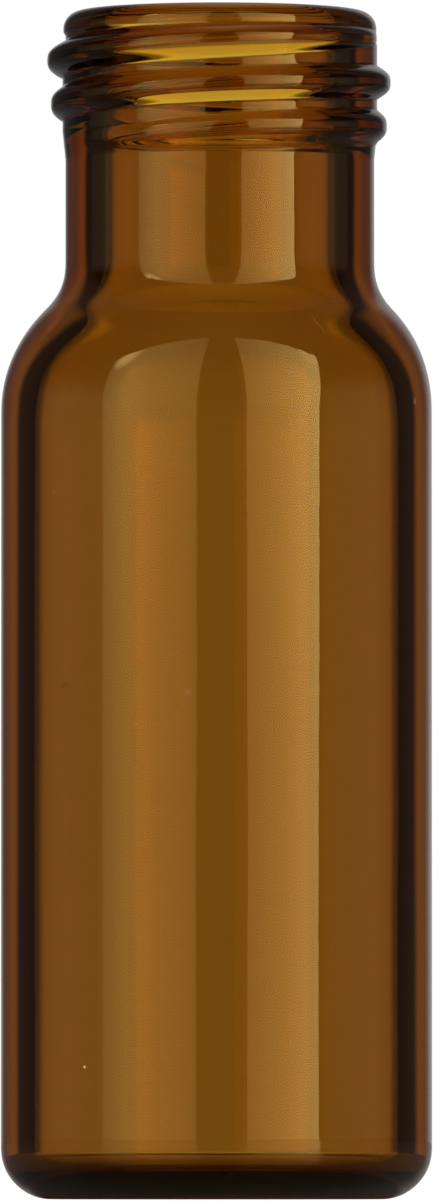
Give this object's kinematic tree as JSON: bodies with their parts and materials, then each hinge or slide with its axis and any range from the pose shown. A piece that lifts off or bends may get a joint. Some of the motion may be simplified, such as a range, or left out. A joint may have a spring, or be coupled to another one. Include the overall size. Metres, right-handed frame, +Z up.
{
  "type": "glass sample vial",
  "caption": "Small amber glass vial with a straight round body, rounded shoulder, narrow neck, short rounded screw thread and open flat rim.",
  "frame": {"origin": "centre of the standing ring under the base", "axes": "+Z up the vial's axis, towards the mouth; +X to the right in the front view"},
  "size_m": [0.0116, 0.0116, 0.032],
  "materials": {
    "amber_glass": "clear amber-brown, fire-polished"
  },
  "bodies": {
    "root": {"vial": "amber_glass"}
  },
  "joints": []
}
